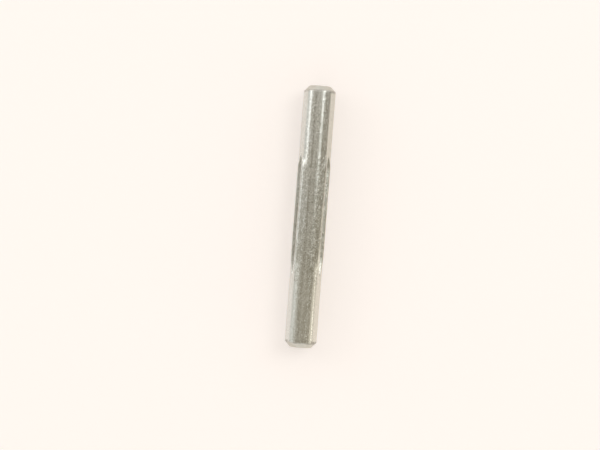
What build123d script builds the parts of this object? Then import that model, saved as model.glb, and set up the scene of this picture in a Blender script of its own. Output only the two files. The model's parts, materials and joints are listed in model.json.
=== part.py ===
from build123d import *
from math import asin, atan2, cos, hypot, radians, sin, sqrt
import os

# A grooved pin with half-length centre grooves: one plain steel bar, chamfered at both ends,
# with three V grooves pressed into the middle of its length. Pressing a groove pushes the
# metal up into a lip along each side of it, and the lips grip the hole the pin is driven into.
# The pin lies along X with its middle at the origin, and one groove faces straight down,
# so that it rests on that groove's two lips. All sizes are in millimetres.

# Bar
pin_diameter = 4.95
pin_length = 40.4
end_chamfer = 0.78
rim_radius = 0.12

# Grooves
groove_count = 3
first_groove_direction = -90
groove_length = 18.6
groove_offset = 0.2
groove_depth = 0.36
groove_angle = 90
root_radius = 0.08

# Lips of the pressed-up metal: a small round at the groove's edge, a broad crest, and a straight
# slope that leaves the bar like a tangent, at this many degrees from the groove's middle
lip_height = 0.15
lip_edge_radius = 0.12
lip_crest_radius = 0.95
rise_angle = 38

# Run-outs, where the tool's round edge left the metal: steep at the +X end of the grooves,
# long at the other
steep_runout = 2.1
long_runout = 3.6
runout_tip_width = 0.4
runout_stations = 5

# The full groove, in the frame of its own centre line: distances from the pin's axis, and turns
# about the axis away from the centre line. Out and along are measured square to the lip's slope
# and down it.
body_radius = pin_diameter / 2
expanded_radius = body_radius + lip_height
flank_turn = radians(groove_angle / 2)
rise_turn = radians(rise_angle)
root_bottom = body_radius - groove_depth
root_centre = root_bottom + root_radius
flanks_meet = root_centre - root_radius / sin(flank_turn)
edge_centre = expanded_radius - lip_edge_radius
edge_turn = flank_turn + asin((lip_edge_radius - flanks_meet * sin(flank_turn)) / edge_centre)
edge_out = edge_centre * cos(rise_turn - edge_turn)
edge_along = edge_centre * sin(rise_turn - edge_turn)
crest_out = body_radius - lip_crest_radius
crest_along = edge_along - sqrt(
    (lip_crest_radius - lip_edge_radius) ** 2 - (edge_out - crest_out) ** 2
)
crest_centre = hypot(crest_out, crest_along)
crest_turn = rise_turn - atan2(crest_along, crest_out)
edge_from_crest = rise_turn - atan2(edge_along - crest_along, edge_out - crest_out)


def circle_point(centre_distance, centre_turn, radius, direction):
    """A point of a circle beside the groove's centre line, as its distance and turn about the axis."""
    across = centre_distance * sin(centre_turn) + radius * sin(direction)
    outward = centre_distance * cos(centre_turn) + radius * cos(direction)
    return hypot(across, outward), atan2(across, outward)


def halfway(start, end):
    """The middle of the straight line between two points given by distance and turn."""
    across = (start[0] * sin(start[1]) + end[0] * sin(end[1])) / 2
    outward = (start[0] * cos(start[1]) + end[0] * cos(end[1])) / 2
    return hypot(across, outward), atan2(across, outward)


# Where the curves of one side of the groove end, and a point halfway along each
to_flank = flank_turn - radians(90)
root_end = circle_point(root_centre, 0, root_radius, flank_turn + radians(90))
flank_end = circle_point(edge_centre, edge_turn, lip_edge_radius, to_flank)
flank_middle = halfway(root_end, flank_end)
edge_middle = circle_point(
    edge_centre, edge_turn, lip_edge_radius, (to_flank + edge_from_crest) / 2
)
edge_end = circle_point(edge_centre, edge_turn, lip_edge_radius, edge_from_crest)
crest_middle = circle_point(
    crest_centre, crest_turn, lip_crest_radius, (edge_from_crest + rise_turn) / 2
)
crest_end = circle_point(crest_centre, crest_turn, lip_crest_radius, rise_turn)
slope_end = (body_radius, rise_turn)
slope_middle = halfway(crest_end, slope_end)
full_width = 2 * body_radius * sin(rise_turn)


def groove_curves(centre, share):
    """One groove and the bar beside it, as far as halfway to the next grooves, in order.

    The share runs from 0, a bare bar, to 1, the full groove. The lips fade sooner than the
    groove does, because a shallow groove pushes up little metal. Every curve stays one of its
    own, also where it lies on the bar, so that the sections of a run-out have the same curves.
    """
    tip_share = runout_tip_width / full_width
    width_share = tip_share + (1 - tip_share) * share
    half_pitch = radians(180 / groove_count)
    body_middle = (body_radius, (rise_turn + half_pitch / width_share) / 2)
    body_end = (body_radius, half_pitch / width_share)

    def place(point, side):
        rise = point[0] - body_radius
        distance = body_radius + rise * (share**2 if rise > 0 else share)
        turn = centre + side * point[1] * width_share
        return distance * cos(turn), distance * sin(turn)

    def arc(start, middle, end, side):
        return ThreePointArc(place(start, side), place(middle, side), place(end, side))

    def side_curves(side):
        return [
            arc(body_end, body_middle, slope_end, side),
            Spline(place(slope_end, side), place(slope_middle, side), place(crest_end, side)),
            arc(crest_end, crest_middle, edge_end, side),
            arc(edge_end, edge_middle, flank_end, side),
            Spline(place(flank_end, side), place(flank_middle, side), place(root_end, side)),
        ]

    root = ThreePointArc(place(root_end, -1), place((root_bottom, 0), 1), place(root_end, 1))
    return side_curves(-1) + [root] + side_curves(1)[::-1]


def pin_section(station, share):
    """The pin's section at a station along X, where its grooves have a share of their full form."""
    curves = []
    for number in range(groove_count):
        centre = radians(first_groove_direction + 360 / groove_count * number)
        curves += groove_curves(centre, share)
    return Plane.YZ.offset(station) * make_face(curves)


def runout_sections(full_end, tip):
    """Sections from where the groove is full to its tip. Its depth follows the tool's round edge."""
    travels = [number / (runout_stations - 1) for number in range(runout_stations)]
    return [pin_section(full_end + (tip - full_end) * way, 1 - way**2) for way in travels]


# Stations along X, from the pin's -X end to its +X end
low_tip = groove_offset - groove_length / 2
low_full = low_tip + long_runout
high_tip = groove_offset + groove_length / 2
high_full = high_tip - steep_runout

full_section = pin_section(low_full, 1)
steep_sections = runout_sections(high_full, high_tip)
long_sections = runout_sections(low_full, low_tip)

with BuildPart() as grooved_pin:
    extrude(full_section, amount=high_full - low_full)
    loft(steep_sections)
    loft(long_sections)
    with BuildSketch(Plane.YZ.offset(high_tip)):
        Circle(body_radius)
    extrude(amount=pin_length / 2 - high_tip)
    with BuildSketch(Plane.YZ.offset(low_tip)):
        Circle(body_radius)
    extrude(amount=-pin_length / 2 - low_tip)
    end_faces = grooved_pin.faces().sort_by(Axis.X)
    chamfer(end_faces[0].edges() + end_faces[-1].edges(), end_chamfer)
    rims = grooved_pin.edges().filter_by(GeomType.CIRCLE).sort_by(Axis.X)
    fillet(rims[:2] + rims[-2:], rim_radius)

grooved_pin.part.label = "grooved_pin"
os.makedirs("parts", exist_ok=True)
export_step(grooved_pin.part, "parts/grooved_pin.step")
print("solids", len(grooved_pin.solids()), "faces", len(grooved_pin.faces()))
print("expanded diameter", round(2 * expanded_radius, 3), "volume", round(grooved_pin.part.volume, 3))
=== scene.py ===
# %% [markdown]
# # A grooved pin
#
# The real pin is one short bar of steel. Three V grooves are pressed into the middle of its
# length, and the metal that each groove displaces stands up in two low lips. When the pin is
# driven into a drilled hole, the lips are squeezed back and grip the hole's wall. The bar is
# zinc plated, which gives it a pale, slightly blotchy, half-bright skin.
#
# The engineering model already has every main form. It is loaded here as a fixed frame, and
# everything below is measured against it. Lengths are in metres, because the frame is.

import json
import random
from math import asin, atan2, cos, degrees, hypot, pi, radians, sin, sqrt, tan

import bpy
from mathutils import Matrix, Vector, noise


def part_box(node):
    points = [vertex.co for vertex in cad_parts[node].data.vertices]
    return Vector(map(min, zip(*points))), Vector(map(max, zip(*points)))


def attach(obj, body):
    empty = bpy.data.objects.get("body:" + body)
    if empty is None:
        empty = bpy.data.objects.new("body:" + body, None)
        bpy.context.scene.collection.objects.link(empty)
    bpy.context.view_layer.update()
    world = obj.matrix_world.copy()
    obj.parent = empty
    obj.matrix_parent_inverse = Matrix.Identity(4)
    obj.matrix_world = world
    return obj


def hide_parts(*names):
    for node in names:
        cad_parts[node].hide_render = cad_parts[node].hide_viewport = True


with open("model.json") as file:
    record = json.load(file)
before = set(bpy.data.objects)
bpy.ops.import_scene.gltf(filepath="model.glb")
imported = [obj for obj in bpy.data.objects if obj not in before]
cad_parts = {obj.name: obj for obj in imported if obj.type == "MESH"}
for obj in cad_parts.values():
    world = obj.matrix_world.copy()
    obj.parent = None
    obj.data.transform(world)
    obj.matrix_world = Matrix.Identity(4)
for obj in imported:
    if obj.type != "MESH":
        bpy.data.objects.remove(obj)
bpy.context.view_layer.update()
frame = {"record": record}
low_corner, high_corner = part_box("grooved_pin")
mm = 0.001
print("pin box in mm", [round(side / mm, 3) for side in high_corner - low_corner])

# %% [markdown]
# ## The pin's sizes
#
# A pin like this is drawn from a few numbers: the bar's diameter and length, the depth and
# angle of the grooves, and how high the lips stand. The bar's radius and the grooves' place
# are read from the mounts of the part's record, so that they can't drift away from the
# engineering model. The grooves' section has no mount, and its sizes are written out here.
# Each flank leans 45 degrees from the groove's middle line, and the outer slope of a lip meets
# the bar 38 degrees round the pin from that line.

# %% Sizes of the bar, read from the frame
mounts = {mount["name"]: mount for mount in frame["record"]["mounts"]}
bar_radius = mounts["plain_end_a"]["dims"]["r_mm"] * mm
pin_end = high_corner.x
groove_middle = mounts["grooved_middle"]["pos_m"][0]
groove_length = mounts["grooved_middle"]["dims"]["length_mm"] * mm
high_tip = groove_middle + groove_length / 2
low_tip = groove_middle - groove_length / 2
print("grooves from", round(low_tip / mm, 2), "to", round(high_tip / mm, 2), "mm along the pin")

# %% Sizes of the grooves, lips and ends
groove_count = 3
groove_depth = 0.36 * mm
root_radius = 0.08 * mm
flank_turn = radians(45)
lip_height = 0.15 * mm
lip_edge_radius = 0.12 * mm
lip_crest_radius = 0.95 * mm
rise_turn = radians(38)
steep_runout = 2.1 * mm
long_runout = 3.6 * mm
tip_width = 0.4 * mm
chamfer = 0.78 * mm
rim_radius = 0.12 * mm
high_full = high_tip - steep_runout
low_full = low_tip + long_runout
print("full depth from", round(low_full / mm, 2), "to", round(high_full / mm, 2), "mm")

# %% [markdown]
# ## The section of one groove
#
# Cut across, one side of a groove is a chain of curves that run smoothly into each other:
# the round root of the V, its straight flank, the small round of the lip's edge, the broad
# round of its crest, and a straight slope that leaves the bar like a tangent. A Boolean cut
# with a prism would give the V, but not the lips. So the section is worked out as points, each
# held as its distance from the pin's axis and its turn away from the groove's middle. In that
# form a groove is easy to make shallower (pull the distances towards the bar) or narrower
# (shrink the turns), which the run-outs need.

# %% Centres of the root, edge and crest circles
root_centre = bar_radius - groove_depth + root_radius
flanks_meet = root_centre - root_radius / sin(flank_turn)
edge_centre = bar_radius + lip_height - lip_edge_radius
edge_turn = flank_turn + asin((lip_edge_radius - flanks_meet * sin(flank_turn)) / edge_centre)
edge_out = edge_centre * cos(rise_turn - edge_turn)
edge_along = edge_centre * sin(rise_turn - edge_turn)
crest_out = bar_radius - lip_crest_radius
crest_along = edge_along - sqrt(
    (lip_crest_radius - lip_edge_radius) ** 2 - (edge_out - crest_out) ** 2
)
crest_centre = hypot(crest_out, crest_along)
crest_turn = rise_turn - atan2(crest_along, crest_out)
crest_to_edge = rise_turn - atan2(edge_along - crest_along, edge_out - crest_out)
print("lip edge at", round(degrees(edge_turn), 1), "degrees from the groove's middle")


# %% Helpers for points given by distance and turn
def on_circle(centre_distance, centre_turn, radius, direction):
    """A point of a circle, as its distance from the axis and its turn about it."""
    across = centre_distance * sin(centre_turn) + radius * sin(direction)
    outward = centre_distance * cos(centre_turn) + radius * cos(direction)
    return hypot(across, outward), atan2(across, outward)


def on_line(start, end, share):
    """A point of the straight line between two points given by distance and turn."""
    across = (1 - share) * start[0] * sin(start[1]) + share * end[0] * sin(end[1])
    outward = (1 - share) * start[0] * cos(start[1]) + share * end[0] * cos(end[1])
    return hypot(across, outward), atan2(across, outward)


def steps(start, end, count):
    """Evenly spaced values from start up to, and not including, end."""
    return [start + (end - start) * number / count for number in range(count)]


print("four steps of a quarter turn", [round(degrees(turn), 1) for turn in steps(0, pi / 2, 4)])

# %% Points along one side of the section
root_points, flank_points, edge_points = 4, 7, 8
crest_points, slope_points, bar_points = 9, 5, 5
to_flank = flank_turn - pi / 2
root_end = on_circle(root_centre, 0, root_radius, flank_turn + pi / 2)
flank_end = on_circle(edge_centre, edge_turn, lip_edge_radius, to_flank)
crest_end = on_circle(crest_centre, crest_turn, lip_crest_radius, rise_turn)
slope_end = (bar_radius, rise_turn)

groove_side = []
for direction in steps(pi, flank_turn + pi / 2, root_points):
    groove_side.append(on_circle(root_centre, 0, root_radius, direction))
for share in steps(0, 1, flank_points):
    groove_side.append(on_line(root_end, flank_end, share))
for direction in steps(to_flank, crest_to_edge, edge_points):
    groove_side.append(on_circle(edge_centre, edge_turn, lip_edge_radius, direction))
for direction in steps(crest_to_edge, rise_turn, crest_points):
    groove_side.append(on_circle(crest_centre, crest_turn, lip_crest_radius, direction))
for share in steps(0, 1, slope_points):
    groove_side.append(on_line(crest_end, slope_end, share))
groove_side.append(slope_end)
print("points from the groove's root to the bar:", len(groove_side))

# %% [markdown]
# ## Rings along the pin
#
# The whole skin is one mesh: rings of points, all with the same number of points in the same
# order, joined by quads. That keeps the long lip lines exactly on edge loops, where they shade
# cleanly. Each ring needs three things: where it stands along the axis, how much of the
# groove is there (its share, 1 where the groove is full and 0 on the plain bar), and how far the
# bar itself is cut back by the chamfer. The rings stand closest together in the run-outs,
# where the shape changes along the pin, and widest apart on the plain ends.
#
# The pressing tool has a round edge, so a groove's depth follows a circle near its ends.
# A parabola is as good over such a short run. Where the groove is shallow it pushes up little
# metal, so the lips fade with the square of the share.


# %% How much of the groove there is at a station
def groove_share(station):
    """1 over the full groove, falling to 0 at the tips of its run-outs."""
    if station > high_full:
        travel = (station - high_full) / steep_runout
    elif station < low_full:
        travel = (low_full - station) / long_runout
    else:
        travel = 0
    return max(0.0, 1 - travel**2)


print("share halfway along the long run-out:", round(groove_share((low_full + low_tip) / 2), 2))


# %% How much the ends are cut back
def end_rings(round_rings, chamfer_rings):
    """Rings of one end, as their distance back from the end face and the cut at the rim.

    The chamfer is straight, with a small round at each of its two edges.
    """
    rings = []
    corner = rim_radius * tan(pi / 8)
    for turn in steps(0, pi / 4, round_rings):
        back = rim_radius * (1 - cos(turn))
        rings.append((back, chamfer + corner - rim_radius * sin(turn)))
    straight_start, straight_end = corner * sin(pi / 4), chamfer - corner * sin(pi / 4)
    for back in steps(straight_start, straight_end, chamfer_rings):
        rings.append((back, chamfer - back))
    for turn in steps(pi / 4, 0, round_rings):
        back = chamfer + corner - rim_radius * sin(turn)
        rings.append((back, rim_radius * (1 - cos(turn))))
    rings.append((chamfer + corner, 0.0))
    return rings


end_zone = end_rings(round_rings=4, chamfer_rings=10)
end_back = end_zone[-1][0]
print("rings at each end:", len(end_zone), "over", round(end_back / mm, 3), "mm")

# %% Where the rings stand
spans = (
    (pin_end - end_back, high_tip, 44),
    (high_tip, high_full, 34),
    (high_full, low_full, 90),
    (low_full, low_tip, 46),
    (low_tip, -pin_end + end_back, 44),
)
between_ends = [station for start, end, count in spans for station in steps(start, end, count)]
stations = [(pin_end - back, cut) for back, cut in end_zone]
stations += [(station, 0.0) for station in between_ends[1:]]
stations += [(-pin_end + back, cut) for back, cut in reversed(end_zone)]
print("rings:", len(stations))

# %% [markdown]
# ## What keeps it from looking like a drawing
#
# A real pin is never as even as its drawing. The bar was drawn through a die, and rolled in a
# drum while it was plated, so its skin is very slightly wavy. The lips are torn up metal and
# vary in height. The chamfers were turned on a bar that ran a little out of true, so they are
# wider on one side. Small dents come from tumbling against other pins. Each of these gets a
# function that takes a place on the skin, by its station along the pin and its turn about the
# axis. All of them only take metal away, so the pin never grows beyond its engineering size.

# %% Waviness of the bar
wave_depth = 0.0035 * mm


def skin_noise(station, turn, length, ripples):
    """Noise over the skin, with waves of a length along the bar and ripples about it."""
    return noise.noise(Vector((station / length, ripples * cos(turn), ripples * sin(turn))))


def wave(station, turn):
    """Metal missing through the slight waviness of the drawn and tumbled skin."""
    broad = skin_noise(station, turn, 1.6 * mm, 3.4)
    fine = skin_noise(station, turn, 0.75 * mm, 6.5)
    return wave_depth * (1.0 + 0.7 * broad + 0.3 * fine)


print("waviness at the pin's middle in microns:", round(wave(0, 0) / mm * 1000, 2))

# %% Uneven lips
lip_loss = 0.2
slow_change, quick_change = 2.7 * mm, 0.55 * mm


def lip_share(station, lip_number):
    """How much of its full height a lip has at a station. Its number picks its own noise."""
    slow = noise.noise(Vector((station / slow_change, 7.3 * lip_number, 0.4)))
    quick = noise.noise(Vector((station / quick_change, 3.1 * lip_number, 9.2)))
    return 1 - lip_loss * min(1.0, max(0.0, 0.32 + 0.6 * slow + 0.3 * quick))


lip_shares = [round(lip_share(groove_middle, number), 2) for number in range(2 * groove_count)]
print("shares of the lips' height at the middle:", lip_shares)

# %% Chamfers wider on one side
slant_depth = 0.18 * mm
slant_reach = 2.5 * mm
wide_side_high, wide_side_low = radians(-25), radians(-80)


def slant(station, turn):
    """How far an out-of-true chamfer runs back along the bar on its wide side."""
    back = pin_end - abs(station)
    if back > chamfer + slant_reach:
        return 0.0
    end, wide_side = (1, wide_side_high) if station > 0 else (-1, wide_side_low)
    on_chamfer = min(1.0, back / chamfer)
    past_chamfer = max(0.0, back - chamfer) / slant_reach
    return end * slant_depth * (1 + cos(turn - wide_side)) / 2 * on_chamfer * (1 - past_chamfer)


print("widest slant in mm:", round(slant(pin_end - chamfer, wide_side_high) / mm, 3))

# %% Dents
random.seed(27)
dent_count = 46
dent_stretch = 1.5
dent_widths_mm = (0.14, 0.34)
dent_depths_mm = (0.003, 0.011)
dents = []
for number in range(dent_count):
    dents.append(
        (
            random.uniform(-pin_end, pin_end),
            random.uniform(-pi, pi),
            random.uniform(*dent_widths_mm) * mm,
            random.uniform(*dent_depths_mm) * mm,
        )
    )


def dent(station, turn):
    """Metal missing where other pins have struck this one."""
    missing = 0.0
    for dent_station, dent_turn, width, depth in dents:
        along_bar = (station - dent_station) / (dent_stretch * width)
        if abs(along_bar) < 1:
            round_about = (turn - dent_turn + pi) % (2 * pi) - pi
            from_centre = along_bar**2 + (bar_radius * round_about / width) ** 2
            if from_centre < 1:
                missing = max(missing, depth * (1 - from_centre) ** 2)
    return missing


print("deepest dent in microns:", round(max(depth for _, _, _, depth in dents) / mm * 1000, 1))

# %% [markdown]
# ## Building the skin
#
# Every ring is made from the one list of points, which serves both sides of a groove, mirrored.
# The ring's share shrinks the turns and pulls the distances to the bar. Then the chamfer and
# the wear are taken off, and the point is turned to its groove: one faces straight down, and
# the other two face up and out, 120 degrees from it.

# %% One ring of points
half_pitch = pi / groove_count
full_width = 2 * bar_radius * sin(rise_turn)
tip_share = tip_width / full_width


def ring(station, cut):
    """The pin's skin at one station, once around it."""
    share = groove_share(station)
    narrow = tip_share + (1 - tip_share) * share
    side = [(distance, turn * narrow) for distance, turn in groove_side]
    for turn in steps(rise_turn * narrow, half_pitch, bar_points)[1:]:
        side.append((bar_radius, turn))
    both_sides = [(bar_radius, -half_pitch, 0)]
    both_sides += [(distance, -turn, 0) for distance, turn in reversed(side[1:])]
    both_sides += [(distance, turn, 1) for distance, turn in side]
    points = []
    for number in range(groove_count):
        centre = -pi / 2 + 2 * half_pitch * number
        for distance, turn, right in both_sides:
            rise = distance - bar_radius
            if rise > 0:
                rise *= share**2 * lip_share(station, 2 * number + right)
            else:
                rise *= share
            about = centre + turn
            radius = bar_radius + rise - cut - wave(station, about) - dent(station, about)
            back = slant(station, about)
            points.append((station - back, radius * cos(about), radius * sin(about)))
    return points


rings = [ring(station, cut) for station, cut in stations]
ring_size = len(rings[0])
print("points on a ring:", ring_size)

# %% Join the rings
vertices = [point for points in rings for point in points]
faces = []
last_ring = (len(rings) - 1) * ring_size
for here in range(0, last_ring, ring_size):
    there = here + ring_size
    for number in range(ring_size):
        after = (number + 1) % ring_size
        faces.append((here + number, there + number, there + after, here + after))
print("quads along the bar:", len(faces))

# %% [markdown]
# ## The end faces
#
# The cut-off tool left each end face nearly flat, with shallow marks. A single face with a
# few hundred corners would have no room for marks, and shades badly. So smaller and smaller
# rings are laid inside the rim, down to a point in the middle. A face looks outward when its
# corners run anticlockwise as seen from outside, so the two ends need opposite orders.

# %% Close the ends
cap_shares = (0.93, 0.8, 0.62, 0.44, 0.27, 0.12)
mark_depth = 0.006 * mm
mark_change = 9


def close_end(rim, face_station, outward):
    """Rings that shrink to the middle of an end face. The rim is its first point's number."""
    outline = vertices[rim : rim + ring_size]
    previous = rim
    for share in cap_shares:
        start = len(vertices)
        for _, y, z in outline:
            marks = noise.noise(Vector((share * mark_change, y / mm, z / mm)))
            mark = mark_depth * (1 + marks)
            vertices.append((face_station - outward * mark, y * share, z * share))
        for number in range(ring_size):
            after = (number + 1) % ring_size
            quad = (previous + number, previous + after, start + after, start + number)
            faces.append(quad if outward > 0 else quad[::-1])
        previous = start
    tip = len(vertices)
    vertices.append((face_station - outward * 2 * mark_depth, 0.0, 0.0))
    for number in range(ring_size):
        after = (number + 1) % ring_size
        fan = (previous + number, previous + after, tip)
        faces.append(fan if outward > 0 else fan[::-1])


close_end(0, pin_end, 1)
close_end(last_ring, -pin_end, -1)
print("points and faces:", len(vertices), len(faces))

# %% The skin as one mesh
skin = bpy.data.meshes.new("pin_skin")
skin.from_pydata(vertices, [], faces)
skin.validate()
skin.update()
for polygon in skin.polygons:
    polygon.use_smooth = True
pin = bpy.data.objects.new("pin_skin", skin)
bpy.context.scene.collection.objects.link(pin)
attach(pin, "root")
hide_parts("grooved_pin")
print("skin faces:", len(skin.polygons))

# %% [markdown]
# ## The zinc plate
#
# Bright zinc is a metal, so nearly all of its look is reflection. Five things make it read as
# plating and not as chrome. Its colour is uneven, a little warm and dull in places. Its gloss is
# uneven too. Fine lines run along the bar from drawing the wire. It carries tiny pits, bright
# specks and raised beads of zinc. And other pins have left short pale nicks across it. Noise
# textures in the object's own coordinates give all five, and stretching a texture along X or
# squeezing it gives its marks their direction. Most of the mottling comes from relief and not
# from colour: it then shows in the dark bands, where a slightly tilted spot mirrors something
# brighter, and fades where all the room is bright. A cool light on one side of the pin and a
# warm light on the other are painted into its colour as well.
#
# The helpers below add their nodes to whichever tree the names nodes and links stand for, so
# the floor and the room can use them too.

# %% Zinc material
plate = bpy.data.materials.new("zinc_plate")
plate.use_nodes = True
nodes, links = plate.node_tree.nodes, plate.node_tree.links
shader = nodes["Principled BSDF"]
shader.inputs["Metallic"].default_value = 1.0
print("nodes of a new material:", [node.name for node in nodes])


# %% Helpers that work out values
def arithmetic(operation, first, second=0.0):
    """One or two values put through one of the math node's operations."""
    node = nodes.new("ShaderNodeMath")
    node.operation = operation
    for socket, value in zip(node.inputs, (first, second)):
        if isinstance(value, float):
            socket.default_value = value
        else:
            links.new(value, socket)
    return node.outputs["Value"]


def multiply(first, second):
    """Two values multiplied."""
    return arithmetic("MULTIPLY", first, second)


def add(first, second):
    """Two values added."""
    return arithmetic("ADD", first, second)


def between_values(value, from_low, from_high, to_low=0.0, to_high=1.0):
    """The value moved from one range to another and held inside it."""
    change = nodes.new("ShaderNodeMapRange")
    change.inputs["From Min"].default_value = from_low
    change.inputs["From Max"].default_value = from_high
    change.inputs["To Min"].default_value = to_low
    change.inputs["To Max"].default_value = to_high
    links.new(value, change.inputs["Value"])
    return change.outputs["Result"]


# %% Helper that blends colours
def blend_colours(amount, first, second):
    """A mix of two colours or colour outputs by an amount from 0 to 1."""
    mix = nodes.new("ShaderNodeMix")
    mix.data_type = "RGBA"
    links.new(amount, mix.inputs["Factor"])
    for name, colour in (("A", first), ("B", second)):
        socket = [s for s in mix.inputs if s.name == name and s.type == "RGBA"][0]
        if isinstance(colour, tuple):
            socket.default_value = (*colour, 1.0)
        else:
            links.new(colour, socket)
    return [s for s in mix.outputs if s.type == "RGBA"][0]


# %% Noise layers of the plate
place = nodes.new("ShaderNodeTexCoord")


def plate_noise(size, stretch=1.0, detail=1.0, roughness=0.5):
    """Noise whose blotches are about size wide and stretch times as long along the pin."""
    mapping = nodes.new("ShaderNodeMapping")
    mapping.inputs["Scale"].default_value = (1 / (size * stretch), 1 / size, 1 / size)
    texture = nodes.new("ShaderNodeTexNoise")
    texture.inputs["Scale"].default_value = 1.0
    texture.inputs["Detail"].default_value = detail
    texture.inputs["Roughness"].default_value = roughness
    links.new(place.outputs["Object"], mapping.inputs["Vector"])
    links.new(mapping.outputs["Vector"], texture.inputs["Vector"])
    return texture.outputs["Fac"]


blotches = plate_noise(0.55 * mm, stretch=1.3, detail=4.0, roughness=0.78)
grain = plate_noise(0.085 * mm, stretch=7.0, detail=3.0, roughness=0.6)
drawn_lines = plate_noise(0.15 * mm, stretch=30.0, detail=2.0, roughness=0.6)
specks = plate_noise(0.175 * mm, stretch=1.2, detail=2.0)
nicks = plate_noise(0.85 * mm, stretch=0.12, detail=2.0)
beads = plate_noise(0.24 * mm)
print("noise layers:", len([node for node in nodes if node.type == "TEX_NOISE"]))

# %% [markdown]
# ## Turned ends
#
# The chamfers and end faces were cut on a lathe before plating, and are duller than the drawn
# bar. In the rim where the chamfer meets the bar, a thin, broken dark line is painted shade in
# that crease. It is darker at the -X end, as a painted reflection of the dimmer room there. Near
# the rims a darker band reaches a little onto the bar on its two sides. Turned faces, the painted
# rim shade and the darker sides are found from measures of a spot: how far it is from the
# pin's axis, how far along, and how far sideways.

# %% Measures of a spot
spot = nodes.new("ShaderNodeSeparateXYZ")
links.new(place.outputs["Object"], spot.inputs["Vector"])
squares = [multiply(spot.outputs[axis], spot.outputs[axis]) for axis in "YZ"]
from_axis = arithmetic("POWER", add(*squares), 0.5)
along = arithmetic("ABSOLUTE", spot.outputs["X"])
sideways = arithmetic("ABSOLUTE", spot.outputs["Y"])


def under_skin(deep, shallow, at_deep=0.0, at_shallow=1.0):
    """A value that changes between two depths in mm below the plain bar's surface."""
    low, high = bar_radius - deep * mm, bar_radius - shallow * mm
    return between_values(from_axis, low, high, at_deep, at_shallow)


def before_end(far, near, at_far=0.0, at_near=1.0):
    """A value that changes between two distances in mm before the end faces."""
    low, high = pin_end - far * mm, pin_end - near * mm
    return between_values(along, low, high, at_far, at_near)


print("measures of a spot use", len([node for node in nodes if node.type == "MATH"]), "math nodes")

# %% Where the ends were turned, the painted rim shade, and the darker sides
near_end = before_end(1.3, 1.2)
turned = multiply(near_end, under_skin(0.06, 0.02, 1.0, 0.0))
outside = under_skin(0.18, 0.12)
# Painted shade: a thin dark line in the rim crease, darker at the -X end as a painted reflection
# of the dimmer room there.
darker_low_end = between_values(spot.outputs["X"], -mm, mm, 1.0, 0.6)
painted_rim_shade = multiply(multiply(near_end, darker_low_end), under_skin(0.03, 0.01, 1.0, 0.0))
# Near the rims the pin's two sides are made darker as well.
outer_sides = between_values(sideways, 0.5 * bar_radius, 0.75 * bar_radius)
rim_sides = multiply(before_end(1.15, 1.0, 0.0, 0.75), outer_sides)
rim_shade_and_dark_sides = multiply(arithmetic("MAXIMUM", painted_rim_shade, rim_sides), outside)
print("nodes for the turned ends and the dirt are in place:", len(nodes), "in all")

# %% [markdown]
# ## Colour, gloss and relief
#
# Each blend lays one layer over the colours before it: the broad tint, a painted cool light on
# one side of the pin and a painted warm light on the other, with a random drift, then the darker
# places, the mottle, the lines, the pits, specks and nicks, and last the turned ends, the painted
# rim shade and the darker sides. The plain ends have been rubbed smoother by handling, on their
# sides most of all and at the -X end more than at the other, so the layers and the relief are
# weaker there. The relief adds up the same noises, so that a dull spot is also a rough one. The
# lathe's rings are a sine wave over the distance from the axis.

# %% Where the plate is rubbed smoother, and where it is darker
end_sides = multiply(
    between_values(along, 7.5 * mm, 12.5 * mm),
    between_values(sideways, 0.45 * bar_radius, 0.75 * bar_radius, 0.0, 0.42),
)
unrubbed = multiply(
    between_values(spot.outputs["X"], -12 * mm, -8 * mm, 0.55, 1.0),
    arithmetic("SUBTRACT", 1.0, end_sides),
)
# A stripe low on the -Y side of the +X half, and the sides of the plain ends, are made darker and
# duller.
darker_stripe = multiply(
    between_values(spot.outputs["Y"], -0.85 * bar_radius, -0.68 * bar_radius, 0.6, 0.0),
    between_values(spot.outputs["X"], 2 * mm, 9 * mm),
)
darker_places = arithmetic("MAXIMUM", darker_stripe, multiply(end_sides, 0.5))
print("nodes with the rubbed and thin places:", len(nodes))

# %% Tint of the plate, with painted cool light on one side and warm light on the other
cool_lit_zinc = (0.80, 0.815, 0.805)
warm_lit_zinc = (0.805, 0.785, 0.70)
dull_zinc = (0.55, 0.54, 0.475)
drift = add(plate_noise(5 * mm, stretch=2.5), -0.5)
# Painted light: the +Y side gets the cool colour and the -Y side the warm one, standing in for the
# colours of the light on the two sides. The drift adds random tone on top.
side_light_and_drift = add(between_values(spot.outputs["Y"], -bar_radius, bar_radius), drift)
colour = blend_colours(between_values(side_light_and_drift, 0.15, 0.85), warm_lit_zinc, cool_lit_zinc)
colour = blend_colours(darker_places, colour, dull_zinc)
print("colour layers:", len([node for node in nodes if node.type == "MIX"]))

# %% Mottle, lines, pits, specks and nicks
pit_colour = (0.31, 0.30, 0.26)
speck_colour = (0.95, 0.96, 0.93)
for layer, low, high, at_low, at_high, shade in (
    (blotches, 0.36, 0.60, 0.55, 0.0, dull_zinc),
    (drawn_lines, 0.48, 0.68, 0.0, 0.6, dull_zinc),
    (specks, 0.40, 0.60, 0.42, 0.0, dull_zinc),
    (specks, 0.28, 0.38, 0.8, 0.0, pit_colour),
    (specks, 0.62, 0.70, 0.0, 0.9, speck_colour),
    (nicks, 0.68, 0.72, 0.0, 0.8, speck_colour),
):
    amount = multiply(unrubbed, between_values(layer, low, high, at_low, at_high))
    colour = blend_colours(amount, colour, shade)
print("colour layers:", len([node for node in nodes if node.type == "MIX"]))

# %% Turned ends, painted rim shade and darker sides over the plate
turned_zinc = (0.57, 0.56, 0.50)
rim_colour = (0.30, 0.29, 0.25)
turned_tone = between_values(plate_noise(0.9 * mm), 0.35, 0.65, 0.55, 1.0)
colour = blend_colours(multiply(turned, turned_tone), colour, turned_zinc)
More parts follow.
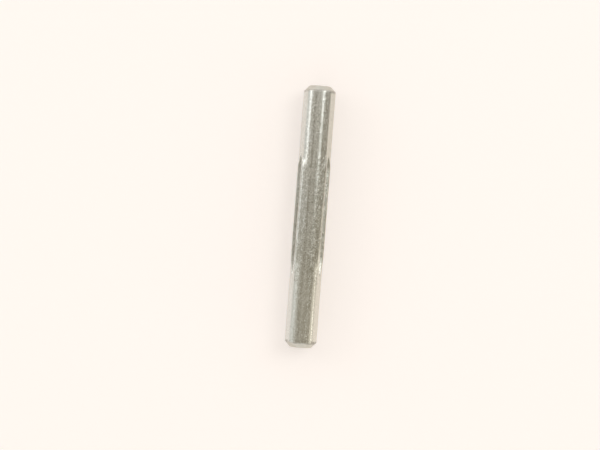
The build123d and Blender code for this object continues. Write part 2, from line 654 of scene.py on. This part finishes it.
# Painted shade: the dark rim line stands in for shade in the crease between chamfer and bar, and
# for a darker reflection at the -X end. Near the rims the pin's sides are darker too.
rim_breaks = between_values(plate_noise(0.7 * mm), 0.36, 0.56, 0.35, 1.0)
colour = blend_colours(multiply(rim_shade_and_dark_sides, rim_breaks), colour, rim_colour)
links.new(colour, shader.inputs["Base Color"])
print("colour layers:", len([node for node in nodes if node.type == "MIX"]))

# %% Gloss of the plate
gloss = add(
    between_values(blotches, 0.40, 0.62, 0.13, 0.22),
    between_values(grain, 0.35, 0.7, 0.0, 0.04),
)
gloss = add(gloss, multiply(turned, 0.14))
links.new(gloss, shader.inputs["Roughness"])
print("nodes with the gloss:", len(nodes))

# %% Relief of the plate
relief_depth = 0.008 * mm
tool_spacing = 0.14 * mm
tool_rings = arithmetic("SINE", multiply(from_axis, 2 * pi / tool_spacing))
relief = multiply(grain, 0.22)
for layer, height in (
    (specks, 0.45),
    (drawn_lines, 0.8),
    (blotches, 1.2),
    (between_values(beads, 0.68, 0.78), 2.0),
    (multiply(tool_rings, turned), 0.25),
):
    relief = add(relief, multiply(layer, height))
bump = nodes.new("ShaderNodeBump")
links.new(unrubbed, bump.inputs["Strength"])
bump.inputs["Distance"].default_value = relief_depth
links.new(relief, bump.inputs["Height"])
links.new(bump.outputs["Normal"], shader.inputs["Normal"])
skin.materials.append(plate)
print("zinc plate nodes:", len(nodes))

# %% [markdown]
# ## The floor
#
# The pin lies on two of its lips, on a plain cream floor. Polished metal shows what is around
# it, and below the pin's middle that is the floor, so its colour is half of the pin's colour.
# A background this pale would need so much light that the pin's own bright lines burned out.
# So the floor glows a little, but only for the camera and for reflections: the Light Path node
# tells them apart from the rays that carry light to the pin.

# %% Floor
floor_reach = 1.5
floor_height = low_corner.z
corner_signs = ((-1, -1), (1, -1), (1, 1), (-1, 1))
floor_corners = [(x * floor_reach, y * floor_reach, floor_height) for x, y in corner_signs]
floor_mesh = bpy.data.meshes.new("floor")
floor_mesh.from_pydata(floor_corners, [], [(0, 1, 2, 3)])
floor = bpy.data.objects.new("floor", floor_mesh)
bpy.context.scene.collection.objects.link(floor)
print("floor at", round(floor_height / mm, 3), "mm")

# %% Cream finish of the floor
cream_colour = (0.93, 0.855, 0.797)
lift_colour = (0.98, 0.96, 1.0)
floor_lift = 0.305
cream = bpy.data.materials.new("cream_floor")
cream.use_nodes = True
nodes, links = cream.node_tree.nodes, cream.node_tree.links
cream_shader = nodes["Principled BSDF"]
cream_shader.inputs["Base Color"].default_value = (*cream_colour, 1.0)
cream_shader.inputs["Roughness"].default_value = 0.7
cream_shader.inputs["Specular IOR Level"].default_value = 0.2
cream_shader.inputs["Emission Color"].default_value = (*lift_colour, 1.0)
ray = nodes.new("ShaderNodeLightPath")
seen = arithmetic("MAXIMUM", ray.outputs["Is Camera Ray"], ray.outputs["Is Glossy Ray"])
links.new(multiply(seen, floor_lift), cream_shader.inputs["Emission Strength"])
floor_mesh.materials.append(cream)
print("floor nodes:", len(nodes))

# %% [markdown]
# ## Light
#
# A round bar of metal seen from above is a strip chart of the room: its middle shows what is
# straight overhead, two thirds of the way out shows what is low beside it, and its edges show
# the floor. So lamps are chosen by what they leave on the bar. The bar mirrors only a narrow
# slice of the room along its length, a little to the +X side for its +X half, so lamps in two
# rows, one on each side of that slice's middle, light the two halves differently. A narrow
# lamp draws a bright line along the bar, and a wide faint one lifts the dark beside it.

# %% Softboxes
lamp_distance = 1.2
lamp_length = 0.6
row = 0.32
neutral, cool, warm = (1.0, 1.0, 1.0), (0.93, 0.97, 1.0), (1.0, 0.97, 0.93)


def softbox(name, from_vertical, offset, width, brightness, lamp_colour):
    """A rectangular lamp that faces the pin, at degrees from the vertical towards +Y.

    It stands at an offset along the pin. Brightness 1 looks as bright as white paper.
    """
    turn = radians(from_vertical)
    stand = Vector((offset, lamp_distance * sin(turn), lamp_distance * cos(turn)))
    lamp = bpy.data.lights.new(name, "AREA")
    lamp.shape = "RECTANGLE"
    lamp.size, lamp.size_y = lamp_length, width
    lamp.energy = brightness * pi * lamp_length * width
    lamp.color = lamp_colour
    holder = bpy.data.objects.new(name, lamp)
    holder.location = stand
    holder.rotation_euler = stand.to_track_quat("Z", "Y").to_euler()
    bpy.context.scene.collection.objects.link(holder)


for lamp_values in (
    ("left_wall", 74, row, 0.75, 0.48, cool),
    ("left_line", 61.5, row - 0.03, 0.36, 0.66, neutral),
    ("left_glow", 44, row, 0.72, 0.24, neutral),
    ("overhead_glow", 5, row, 0.80, 0.15, neutral),
    ("right_glow", -29, row + 0.14, 0.86, 0.48, cool),
    ("right_line", -34, row + 0.09, 0.50, 1.40, cool),
    ("lower_left_glow", 64, -row, 1.00, 0.20, cool),
    ("lower_left_wall", 76, -row, 0.60, 0.30, cool),
    ("lower_right_wall", -73, -row, 0.72, 0.42, warm),
    ("lower_right_line", -77, -row + 0.04, 0.12, 1.00, warm),
):
    softbox(*lamp_values)
print("lamps:", len(bpy.data.lights))

# %% [markdown]
# ## The room
#
# The world is a room seen by its light alone. Straight above the pin it is dim, which gives the
# bar its dark middle. Towards both ends stand bright walls, which light the floor evenly and
# make the chamfers pale. High up the walls fade into the ceiling, so that the bar keeps its
# light and dark sides when it is looked at from one of its corners.

# %% Walls of the room
world = bpy.data.worlds.new("studio")
bpy.context.scene.world = world
world.use_nodes = True
nodes, links = world.node_tree.nodes, world.node_tree.links
heading = nodes.new("ShaderNodeSeparateXYZ")
links.new(nodes.new("ShaderNodeTexCoord").outputs["Generated"], heading.inputs["Vector"])
room = nodes.new("ShaderNodeValToRGB")
links.new(between_values(heading.outputs["X"], -1.0, 1.0), room.inputs["Fac"])
stops = room.color_ramp.elements
stops[0].position, stops[0].color = 0.0, (1.05, 1.05, 1.05, 1.0)
stops[1].position, stops[1].color = 1.0, (1.15, 1.15, 1.15, 1.0)
for position, light in (
    (0.15, (1.00, 1.00, 1.00)),
    (0.35, (0.40, 0.37, 0.30)),
    (0.50, (0.37, 0.34, 0.28)),
    (0.515, (0.26, 0.24, 0.20)),
    (0.54, (0.38, 0.35, 0.30)),
    (0.72, (1.15, 1.15, 1.15)),
):
    stops.new(position).color = (*light, 1.0)
print("steps of light from -X to +X:", len(stops))

# %% Ceiling
ceiling_colour = (0.55, 0.52, 0.46)
upwards = between_values(heading.outputs["Z"], 0.30, 0.75)
over_ends = between_values(arithmetic("ABSOLUTE", heading.outputs["X"]), 0.12, 0.35)
ceiling = blend_colours(multiply(upwards, over_ends), room.outputs["Color"], ceiling_colour)
links.new(ceiling, nodes["Background"].inputs["Color"])
nodes["Background"].inputs["Strength"].default_value = 1.0
print("world nodes:", len(nodes))

# %% [markdown]
# ## Camera
#
# The pin is looked at from straight above, from close by, and leans a little to the right. The
# camera is turned about its own axis instead of the pin, so the pin stays in line with the
# frame. From this near, the ends of the pin bulge a little, which a far camera would not show.
# The picture is 600 pixels wide and spans 94 mm of the floor. The pin's middle lies about ten
# pixels right of the picture's middle and eight above it.

# %% Camera
camera_height = 0.240
lean = radians(4.42)
view_width = 0.09373
pixels_per_metre = 6470.0
pin_right, pin_up = 10.2 / pixels_per_metre, 8.25 / pixels_per_metre
image_up = Vector((cos(lean), sin(lean), 0))
image_right = Vector((sin(lean), -cos(lean), 0))
image_depth = Vector((0, 0, 1))
stand = -image_right * pin_right - image_up * pin_up
stand.z = floor_height + camera_height
camera_data = bpy.data.cameras.new("camera")
camera_data.sensor_fit = "HORIZONTAL"
camera_data.angle = 2 * atan2(view_width / 2, camera_height)
camera_data.clip_start = 0.005
camera_data.clip_end = 20
camera = bpy.data.objects.new("camera", camera_data)
camera_turn = Matrix((image_right, image_up, image_depth)).transposed().to_4x4()
camera.matrix_world = Matrix.Translation(stand) @ camera_turn
bpy.context.scene.collection.objects.link(camera)
bpy.context.scene.camera = camera
bpy.context.scene.view_settings.view_transform = "Standard"
print("camera angle in degrees", round(degrees(camera_data.angle), 2))
